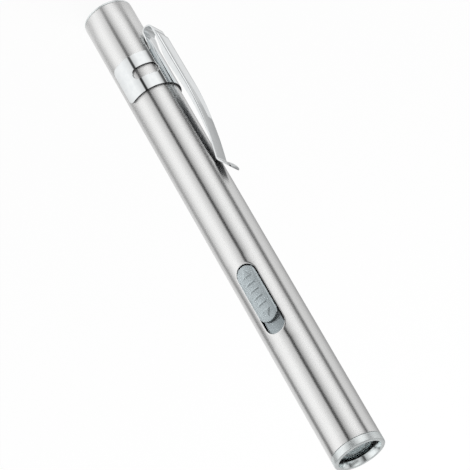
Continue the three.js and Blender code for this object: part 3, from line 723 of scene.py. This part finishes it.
# a shallow screw thread round the bezel's skirt
def threadSkin():
    skin = Skin()
    turns = (screw["front"] - screw["rear"]) / screw["pitch"]
    steps = round(turns * screw["stepsPerTurn"])
    root = bezel["fit"] - screw["sunk"]
    half = screw["pitch"] * screw["rootShare"]
    flat = half * screw["crestShare"]
    rows = []
    for i in range(steps + 1):
        share = i / steps
        angle = 2 * math.pi * turns * share
        height = lerp(screw["rear"], screw["front"], share)
        crest = bezel["fit"] + screw["height"] * smooth(0, screw["fade"], min(share, 1 - share))
        section = [(root, -half), (crest, -flat), (crest, flat), (root, half)]
        rows.append([onTube(r, angle, height + rise) for r, rise in section])
    skin.grid(rows, closed=True)
    skin.face(*rows[0])
    skin.face(*rows[-1])
    return skin


thread = makePiece("bezel_thread", threadSkin(), "bezel_metal", sharp=20)
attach(thread, "bezel")

lens = {"radius": 5.55, "rear": 142.5, "front": 144.0, "edge": 0.12, "count": 128}
lensOutline = outlineOf(
    lens, "axis rear sharp", "radius rear edge", "radius front edge", "axis front sharp")
window = makePiece("front_lens", turnedSkin(lensOutline, lens["count"], edgeSteps), "lens_glass")
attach(window, "bezel")
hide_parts("lens")

gasket = {"inner": 5.2, "outer": 5.65, "rear": 144.03, "front": 144.4, "round": 0.1, "count": 128}
gasketOutline = outlineOf(
    gasket, "inner rear round", "outer rear round", "outer front round", "inner front round")
seal = makePiece("lens_seal", turnedSkin(gasketOutline, gasket["count"]), "gasket_black")
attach(seal, "bezel")
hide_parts("lens_gasket")

cup = {"rear": 132.7, "front": 142.4, "hole": 1.9, "mouth": 5.15, "wall": 0.4, "steps": 36, "count": 128}


def cupSkin():
    inside = []
    for i in range(cup["steps"] + 1):
        share = i / cup["steps"]
        radius = math.sqrt(lerp(cup["hole"] ** 2, cup["mouth"] ** 2, share))
        inside.append((radius, lerp(cup["rear"], cup["front"], share), 0))
    outside = [(radius + cup["wall"], height, 0) for radius, height, _ in inside]
    return turnedSkin(inside[::-1] + outside, cup["count"])


bowl = makePiece("reflector_cup", cupSkin(), "mirror_cup")
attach(bowl, "barrel")
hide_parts("reflector")

dome = {"radius": 1.45, "base": 132.5, "count": 48, "steps": 12}
domeOutline = [(0, dome["base"], 0)]
for i in range(dome["steps"]):
    angle = math.pi / 2 * i / dome["steps"]
    spot = (dome["radius"] * math.cos(angle), dome["base"] + dome["radius"] * math.sin(angle), 0)
    domeOutline.append(spot)
domeOutline.append((0, dome["base"] + dome["radius"], 0))
light = makePiece("light_dome", turnedSkin(domeOutline, dome["count"]), "led_clear")
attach(light, "barrel")
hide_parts("led_dome")
print("light head made")


clip = {
    "sheet": 0.45, "inner": 7.12, "outer": 7.57, "edge": 0.06, "edgeSteps": 8,
    "bandRear": 18.9, "bandFront": 30.6, "reach": math.radians(127), "corner": 1.6,
    "windowHeight": 3.4, "windowNear": math.radians(27), "windowFar": math.radians(87),
    "tabHalf": 2.85, "fillet": 1.0, "join": 17.6, "columnStep": 0.4, "cutSlack": 1e-5, "weld": 1e-4,
    "strap": 10.55, "crest": 11.12, "hairpinTop": 11.95, "straightEnd": 32.0,
    "startHandle": 10.0, "endHandle": 6.2, "touch": 57.2, "touchGap": 0.25, "tipEnd": 61.9,
    "bendRadius": 1.6, "approach": math.radians(14), "tipAngle": math.radians(28),
    "armHalf": 2.5, "narrowStart": 34.0, "narrowEnd": 50.0, "tipNarrow": 1.3, "tipCup": 0.6,
    "wallStart": 15.0, "wallDeepest": 25.0, "wallEnd": 50.0, "wallDepth": 0.95, "shoulder": 0.65,
    "wallFull": 0.3, "riseStart": 14.6, "riseEnd": 16.4, "crown": 0.1, "tipBlunt": 0.02,
    "filletSteps": 5, "cornerSteps": 8, "windowSteps": 14,
    "legSteps": 8, "hairpinSteps": 24, "armSteps": 40, "sweepSteps": 40, "bendSteps": 10, "tipSteps": 16,
}
edgeTurns = [math.pi / 2 * i / clip["edgeSteps"] for i in range(clip["edgeSteps"] + 1)]


def arc(middle, radius, start, end, steps):
    angles = [lerp(start, end, i / steps) for i in range(steps + 1)]
    return [(middle[0] + radius * math.cos(a), middle[1] + radius * math.sin(a)) for a in angles]


# the flat blank of the band and its tab, in arc length and height, drawn an edge radius inside its outline
def bandOutline():
    inset = clip["edge"]
    half = clip["outer"] * clip["reach"] - inset
    rear, front = clip["bandRear"] + inset, clip["bandFront"] - inset
    corner = clip["corner"] - inset
    fillet = clip["fillet"] + inset
    tab = clip["tabHalf"] - inset
    quarter = math.pi / 2
    right = [(tab, clip["join"])]
    right += arc((tab + fillet, rear - fillet), fillet, 2 * quarter, quarter, clip["filletSteps"])
    right += arc((half - corner, rear + corner), corner, -quarter, 0, clip["cornerSteps"])
    right += arc((half - corner, front - corner), corner, 0, quarter, clip["cornerSteps"])
    left = [(-across, height) for across, height in reversed(right)]
    return right + left


def windowOutline(side):
    middle = (clip["bandRear"] + clip["bandFront"]) / 2
    radius = clip["windowHeight"] / 2
    near = clip["outer"] * clip["windowNear"] + radius
    far = clip["outer"] * clip["windowFar"] - radius
    radius += clip["edge"]
    quarter = math.pi / 2
    loop = arc((far, middle), radius, -quarter, quarter, clip["windowSteps"])
    loop += arc((near, middle), radius, quarter, 3 * quarter, clip["windowSteps"])
    return [(side * across, height) for across, height in loop]


def bandBlank():
    blank = bmesh.new()
    for outline in (bandOutline(), windowOutline(1), windowOutline(-1)):
        corners = [blank.verts.new((across, height, 0)) for across, height in outline]
        for first, second in zip(corners, corners[1:] + corners[:1]):
            blank.edges.new((first, second))
    bmesh.ops.triangle_fill(blank, edges=blank.edges[:], use_beauty=True, use_dissolve=False)
    reach = clip["outer"] * clip["reach"]
    count = round(2 * reach / clip["columnStep"])
    for i in range(1, count):
        cutAt = lerp(-reach, reach, i / count)
        parts = blank.verts[:] + blank.edges[:] + blank.faces[:]
        bmesh.ops.bisect_plane(blank, geom=parts, plane_co=(cutAt, 0, 0), plane_no=(1, 0, 0),
                               dist=clip["cutSlack"])
    bmesh.ops.remove_doubles(blank, verts=blank.verts[:], dist=clip["weld"])
    return blank


# depth runs from the face that lies on the barrel outwards
def onBand(across, height, depth):
    radius, angle = clip["inner"] + depth, across / clip["outer"]
    return (-radius * math.cos(angle), -radius * math.sin(angle), height)


def edgeProfile():
    edge, sheet = clip["edge"], clip["sheet"]
    profile = [(edge * math.sin(turn), edge - edge * math.cos(turn)) for turn in edgeTurns]
    return profile + [(edge, sheet - edge), ((1 - roundIn) * edge, sheet - roundIn * edge), (0, sheet)]


def borderPush(vert):
    push = Vector((0, 0, 0))
    for edge in vert.link_edges:
        if edge.is_boundary:
            along = edge.other_vert(vert).co - vert.co
            across = Vector((along.y, -along.x, 0)).normalized()
            face = edge.link_faces[0]
            if across.dot(face.calc_center_median() - vert.co) > 0:
                across = -across
            push += across
    push.normalize()
    return push


def bandFaces(skin):
    blank = bandBlank()

    def onJoin(vert):
        return abs(vert.co.y - clip["join"]) < slack

    for face in blank.faces:
        for depth in (0, clip["sheet"]):
            skin.face(*[onBand(v.co.x, v.co.y, depth) for v in face.verts])
    for edge in blank.edges:
        if not edge.is_boundary or all(map(onJoin, edge.verts)):
            continue
        rows = []
        for vert in edge.verts:
            sideways = Vector((math.copysign(1, vert.co.x), 0, 0))
            out = sideways if onJoin(vert) else borderPush(vert)
            rows.append([onBand(vert.co.x + out.x * off, vert.co.y + out.y * off, depth)
                         for off, depth in edgeProfile()])
        skin.grid(rows)
    acrosses = sorted(v.co.x for v in blank.verts if onJoin(v))
    blank.free()
    return acrosses


# the arm's outer face from the tab to the tip: place as (radius, height), direction and part
def armPath():
    inner, strap = clip["inner"], clip["strap"]
    legSteps, hairpinSteps, armSteps = (clip[key] for key in ("legSteps", "hairpinSteps", "armSteps"))
    radius = (strap - inner) / 2
    middle = Vector((inner + radius, clip["hairpinTop"] + radius))
    path = []
    for i in range(legSteps):
        height = lerp(clip["join"], middle.y, i / legSteps)
        path.append((Vector((inner, height)), Vector((0, -1)), "leg"))
    for i in range(hairpinSteps + 1):
        turn = math.pi * (1 + i / hairpinSteps)
        spoke = Vector((math.cos(turn), math.sin(turn)))
        path.append((middle + spoke * radius, Vector((-spoke.y, spoke.x)), "hairpin"))
    for i in range(1, armSteps + 1):
        height = lerp(middle.y, clip["straightEnd"], i / armSteps)
        rise = smooth(clip["riseStart"], clip["riseEnd"], height)
        path.append((Vector((lerp(strap, clip["crest"], rise), height)), Vector((0, 1)), "arm"))
    return path + sweepPath(Vector((clip["crest"], clip["straightEnd"])))


# the curve down to the barrel, the bend that just clears it and the kicked-out tip
def sweepPath(start):
    sweepSteps, bendSteps, tipSteps = (clip[key] for key in ("sweepSteps", "bendSteps", "tipSteps"))
    touch = Vector((barrel["radius"] + clip["touchGap"] + clip["sheet"], clip["touch"]))
    middle = touch + Vector((clip["bendRadius"], 0))

    def onBend(angle):
        spoke = Vector((math.cos(math.pi + angle), math.sin(math.pi + angle)))
        return middle + spoke * clip["bendRadius"], Vector((spoke.y, -spoke.x))

    bendStart, inward = onBend(clip["approach"])
    handles = (start, start + Vector((0, clip["startHandle"])),
               bendStart - inward * clip["endHandle"], bendStart)
    path = []
    for i in range(1, sweepSteps + 1):
        s = i / sweepSteps
        r = 1 - s
        weights = (r ** 3, 3 * s * r ** 2, 3 * s * s * r, s ** 3)
        slopes = (-3 * r ** 2, 3 * r ** 2 - 6 * s * r, 6 * s * r - 3 * s * s, 3 * s * s)
        place = sum((w * h for w, h in zip(weights, handles)), Vector((0, 0)))
        along = sum((w * h for w, h in zip(slopes, handles)), Vector((0, 0))).normalized()
        path.append((place, along, "arm"))
    for i in range(1, bendSteps + 1):
        place, along = onBend(lerp(clip["approach"], -clip["tipAngle"], i / bendSteps))
        path.append((place, along, "arm"))
    last, along = path[-1][:2]
    run = (clip["tipEnd"] - last.y) / along.y
    for i in range(1, tipSteps + 1):
        path.append((last + along * run * math.sin(math.pi / 2 * i / tipSteps), along, "tip"))
    return path


# half of a section, from the middle of the outer face round the wall to the middle of the inner face
def halfSection(shares, half, walls, shoulder, rise):
    edge, sheet = clip["edge"], clip["sheet"]
    face = half - shoulder
    inner = half - lerp(edge, sheet, min(walls / clip["wallFull"], 1))
    small = min(edge, walls / 2)
    edgeIn, smallIn = roundIn * edge, roundIn * small
    turn = min(max(shoulder - sheet, edge), walls / 2)
    depth = sheet + walls
    points = [(face * share, 0) for share in shares[:-1]]
    points += [(face + shoulder * math.sin(a), shoulder - shoulder * math.cos(a)) for a in edgeTurns]
    points += [(half, depth - edge), (half - edgeIn, depth - edgeIn), (half - edge, depth)]
    points += [(inner + small, depth), (inner + smallIn, depth - smallIn), (inner, depth - small)]
    points += [(inner - turn + turn * math.cos(a), sheet + turn - turn * math.sin(a)) for a in edgeTurns]
    floor = inner - turn
    points += [(floor * share, sheet) for share in reversed(shares[:-1])]
    return [(across, down - rise * (1 - (across / half) ** 2)) for across, down in points]


def sectionRing(station, shares):
    place, along, half, walls, shoulder, rise, curl = station
    side = halfSection(shares, half, walls, shoulder, rise)
    other = [(-across, down) for across, down in reversed(side)]
    outline = side + other[1:-1] if abs(side[0][0]) < slack else side + other
    normal = Vector((along.y, -along.x))
    ring = []
    for across, down in outline:
        angle, radius = across / clip["outer"], clip["inner"] + down
        sideways = lerp(across, radius * math.sin(angle), curl)
        inward = lerp(down, radius * math.cos(angle) - clip["inner"], curl)
        spot = place - normal * inward
        ring.append((-spot.x, -sideways, spot.y))
    return ring


# place, direction, half width, depth of walls, shoulder, crown and curl at each step of the path
def armStations():
    path = armPath()
    legs = [step for step in path if step[2] == "leg"]
    stations = []
    tipStart = next(step[0] for step in path if step[2] == "tip")
    tipRun = (path[-1][0] - tipStart).length
    for place, along, part in path:
        onArm = part in ("arm", "tip")
        height = place.y
        fallen = (height - clip["wallDeepest"]) / (clip["wallEnd"] - clip["wallDeepest"])
        falling = 1 - min(max(fallen, 0), 1)
        lift = smooth(clip["riseStart"], clip["riseEnd"], height) if onArm else 0
        grow = min(smooth(clip["wallStart"], clip["wallDeepest"], height), falling) if onArm else 0
        raised = min(lift, math.sqrt(falling))
        walls = (clip["crest"] - clip["strap"]) * raised + clip["wallDepth"] * grow
        narrow = smooth(clip["narrowStart"], clip["narrowEnd"], height) if onArm else 0
        half = lerp(clip["tabHalf"], clip["armHalf"], narrow)
        rise = clip["crown"] * lift
        if part == "tip":
            share = (place - tipStart).length / tipRun
            half -= clip["tipNarrow"] * (1 - math.sqrt(max(1 - share ** 3, clip["tipBlunt"])))
            rise += clip["tipCup"] * math.sin(math.pi / 2 * share) * (half / clip["armHalf"]) ** 2
        shoulder = lerp(clip["edge"], clip["shoulder"], raised)
        curl = 0
        if part == "leg":
            curl = 1 - smooth(0, 1, legs.index((place, along, part)) / len(legs))
        stations.append((place, along, half, walls, shoulder, rise, curl))
    return stations


def clipSkin():
    skin = Skin()
    acrosses = bandFaces(skin)
    face = clip["tabHalf"] - clip["edge"]
    shares = [across / face for across in acrosses if across > -slack]
    rings = [sectionRing(station, shares) for station in armStations()]
    skin.grid(rings, closed=True)
    end = rings[-1]
    half = len(end) // 2
    for i in range(half):
        skin.face(end[i], end[i + 1], end[-i - 1], end[-i] if i else end[0])
    return skin


spring = makePiece("pocket_clip", clipSkin(), "polished_clip", sharp=15)
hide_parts("clip_band", "clip_arm")
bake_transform(spring)
print("clip made:", len(spring.data.vertices), "corners")


photoView = {
    "lens": 178.3, "sees": (0.01, 50), "place": (-0.17535, -0.50629, 0.3455),
    "right": (-0.74549, 0.49464, 0.44672), "up": (-0.59912, -0.20368, -0.77432),
}
camera = placed("camera", bpy.data.cameras.new("camera"))
camera.data.lens = photoView["lens"]
camera.data.clip_start, camera.data.clip_end = photoView["sees"]
right, up = Vector(photoView["right"]), Vector(photoView["up"])
turn = Matrix((right, up, right.cross(up))).transposed()
camera.matrix_world = Matrix.Translation(photoView["place"]) @ turn.to_4x4()
bpy.context.scene.camera = camera
print("camera set")


# the side that the photo is taken from, and the photo's right
towardsCamera = Vector((-0.3272, -0.9449, 0))
photoRight = Vector((towardsCamera.y, -towardsCamera.x, 0))
studio = {
    "floorSize": 6.0, "floorColour": (0.96, 0.96, 0.96, 1), "whiteShare": 0.95,
    "veil": (0.01, 0.05, 0.3, 0), "fill": 0.14,
    "lamps": (
        {"name": "left_lamp", "bearing": -72, "rise": 4, "far": 0.6, "size": 0.08, "power": 0.5,
         "aim": (0, 0, 0.07)},
        {"name": "right_lamp", "bearing": 42, "rise": 8, "far": 1.5, "size": 0.4, "power": 1.0,
         "aim": (0, 0, 0.07)},
        {"name": "back_lamp", "bearing": 180, "rise": 45, "far": 1.2, "size": 1.0, "power": 12,
         "aim": (0.15, 0.4, 0)},
        {"name": "floor_panel", "bearing": -55, "rise": 1, "far": 0.2, "size": 0.12, "power": 0.96,
         "aim": (0.117, -0.162, 1)},
    ),
}


def bearingTo(bearing, rise=0):
    turn, lift = math.radians(bearing), math.radians(rise)
    level = towardsCamera * math.cos(turn) + photoRight * math.sin(turn)
    return level * math.cos(lift) + Vector((0, 0, math.sin(lift)))


def stagePiece(name, points, faces, material):
    mesh = bpy.data.meshes.new(name)
    mesh.from_pydata(points, [], faces)
    mesh.materials.append(material)
    piece = placed(name, mesh)
    return piece


def shownDirectly(flow):
    seen = flow.node("LightPath", out="Is Camera Ray")
    glossy = flow.node("LightPath", out="Is Glossy Ray")
    through = flow.node("LightPath", out="Is Transmission Ray")
    return flow.maths("MAXIMUM", flow.maths("MAXIMUM", seen, glossy), through)


# the floor is white to look at and thin to the metal, which sees the gauze below and round the set
def paleFloor(flow):
    paint = flow.node("BsdfDiffuse", {"Color": studio["floorColour"]})
    glow = flow.node("Emission", {"Strength": 1.0})
    shown = flow.node("MixShader", {0: shownDirectly(flow) * studio["whiteShare"], 1: paint, 2: glow})
    spot = flow.node("TexCoord", out="Object")
    veil = awayFromAxis(flow, spot).ramp(*studio["veil"])
    thin = flow.node("MixShader", {0: veil, 1: flow.node("BsdfTransparent"), 2: glow})
    glossy = flow.node("LightPath", out="Is Glossy Ray")
    return flow.node("MixShader", {0: glossy, 1: shown, 2: thin})


def lampAt(settings):
    data = bpy.data.lights.new(settings["name"], "AREA")
    data.shape, data.size, data.energy = "DISK", settings["size"], settings["power"]
    lamp = placed(settings["name"], data)
    lamp.location = bearingTo(settings["bearing"], settings["rise"]) * settings["far"]
    lamp.rotation_euler = (Vector(settings["aim"]) - lamp.location).to_track_quat("-Z", "Y").to_euler()
    lamp.visible_camera = lamp.visible_glossy = lamp.visible_transmission = False


def studioWorld():
    world = bpy.data.worlds.new("studio")
    bpy.context.scene.world = world
    flow = newTree(world)
    level = shownDirectly(flow) * (1 - studio["fill"]) + studio["fill"]
    background = flow.node("Background", {"Color": (1, 1, 1, 1), "Strength": level})
    flow.node("OutputWorld", {"Surface": background})


half = studio["floorSize"] / 2
corners = [(-half, -half, 0), (half, -half, 0), (half, half, 0), (-half, half, 0)]
stagePiece("floor", corners, [(0, 1, 2, 3)], newMaterial("pale_floor", paleFloor))
for settings in studio["lamps"]:
    lampAt(settings)
studioWorld()


# gauze below and round the set, which only reflections see; each list says how dark it is at a bearing
gauze = {
    "near": 0.02, "far": 1.6, "drop": -0.3, "top": 1.4, "columns": 96,
    "level": (0.44, 0.52, 0.68, 0.78), "roof": 0.62, "roofBelow": (0.02, 0.01),
    "paint": (0.01, 0.01, 0.01, 1), "steep": (0.3, 0.42), "back": (0.4, 0.5),
    "levelDark": ((-180, 0.55), (-160, 0.3), (-128, 0.3), (-104, 0.18), (-72, 0.03), (-48, 0), (-32, 0.13),
                  (-17, 0.28), (-13, 0.97), (-6, 0.97), (-2, 0.34), (10, 0.15), (20, 0), (48, 0), (60, 0.2),
                  (68, 0.5), (72, 0.9), (84, 0.9), (91, 0.25), (118, 0.36), (150, 0.42), (180, 0.55)),
    "farDark": ((-180, 0.2), (-160, 0.2), (-134, 0.3), (-124, 0.38), (-115, 0.85), (-104, 0.85), (-97, 0.4),
                (-84, 0.18), (-72, 0.02), (-52, 0.02), (-40, 0.18), (-24, 0.42), (-17, 0.5), (-13, 0.97),
                (-5, 0.97), (0, 0.7), (8, 0.52), (20, 0.25), (32, 0.04), (44, 0.02), (56, 0.2), (64, 0.48),
                (69, 0.9), (76, 0.9), (82, 0.4), (92, 0.3), (110, 0.36), (144, 0.62), (165, 0.62),
                (180, 0.45)),
    "low": (0.32, 0.44, 0.6, 0.72),
    "lowDark": ((-180, 0), (10, 0), (25, 0.8), (75, 0.8), (95, 0), (180, 0)),
    "steepDark": ((-180, 0.8), (-150, 0), (60, 0), (90, 0.8), (180, 0.8)),
    "backDark": ((-180, 0.4), (-120, 0.4), (-95, 0), (95, 0), (120, 0.4)),
}
card = {"near": 0.005, "far": 0.1, "lift": 0.0007, "from": 136, "to": 148, "columns": 24,
        "middle": (-0.0111, 0), "level": 0.78}


def gauzeShade(flow):
    spot = flow.node("TexCoord", out="Object")
    ahead = flow.vector("DOT_PRODUCT", spot, towardsCamera, out="Value")
    aside = flow.vector("DOT_PRODUCT", spot, photoRight, out="Value")
    turn = flow.maths("ARCTAN2", aside, ahead) / math.pi * 0.5 + 0.5
    ramps = {}
    for name in ("levelDark", "farDark", "lowDark", "steepDark", "backDark"):
        stops = [((bearing + 180) / 360, grey) for bearing, grey in gauze[name]]
        ramps[name] = flow.node("ValToRGB", {0: turn}, {"stops": stops})
    away, height = awayFromAxis(flow, spot), heightOf(flow, spot)
    inner, start, end, outer = gauze["level"]
    ring = away.ramp(inner, start) * away.ramp(end, outer, 1, 0)
    dark = ramps["levelDark"] * ring + ramps["farDark"] * (1 - ring)
    dark = flow.maths("MAXIMUM", dark, ramps["steepDark"] * away.ramp(*gauze["steep"], 1, 0))
    dark = flow.maths("MAXIMUM", dark, ramps["backDark"] * height.ramp(*gauze["back"]))
    foot, footEnd, headStart, head = gauze["low"]
    low = height.ramp(foot, footEnd) * height.ramp(headStart, head, 1, 0)
    dark = flow.maths("MAXIMUM", dark, ramps["lowDark"] * low)
    roof = height.ramp(*(gauze["top"] - below for below in gauze["roofBelow"]))
    dark = dark * (1 - roof) + roof * gauze["roof"]
    clear = flow.node("BsdfTransparent")
    black = flow.node("BsdfDiffuse", {"Color": gauze["paint"]})
    return flow.node("MixShader", {0: dark, 1: clear, 2: black})


# a screen that only reflections see, swept round the object through (distance, height) rings
def reflectedScreen(name, rings, first, last, count, material, middle=(0, 0)):
    points, faces = [], []
    for radius, height in rings:
        for i in range(count + 1):
            spoke = bearingTo(lerp(first, last, i / count)) * radius
            points.append((middle[0] + spoke.x, middle[1] + spoke.y, height))
    for row in range(len(rings) - 1):
        for i in range(count):
            low, high = row * (count + 1) + i, (row + 1) * (count + 1) + i
            faces.append((low, low + 1, high + 1, high))
    screen = stagePiece(name, points, faces, material)
    screen.visible_camera = screen.visible_diffuse = screen.visible_shadow = False
    screen.visible_transmission = screen.visible_volume_scatter = False


def cardShade(flow):
    return flow.node("Emission", {"Strength": card["level"]})


gauzeRings = outlineOf(gauze, "near drop", "far drop", "far top", "near top")
gauzeMaterial = newMaterial("gauze", gauzeShade)
reflectedScreen("gauze_screen", gauzeRings, -180, 180, gauze["columns"], gauzeMaterial)
cardRings = outlineOf(card, "near lift", "far lift")
cardMaterial = newMaterial("white_card", cardShade)
cardSpan = (card["from"], card["to"], card["columns"])
reflectedScreen("white_card", cardRings, *cardSpan, cardMaterial, card["middle"])
bpy.context.scene.view_settings.view_transform = "Standard"
print("studio set")
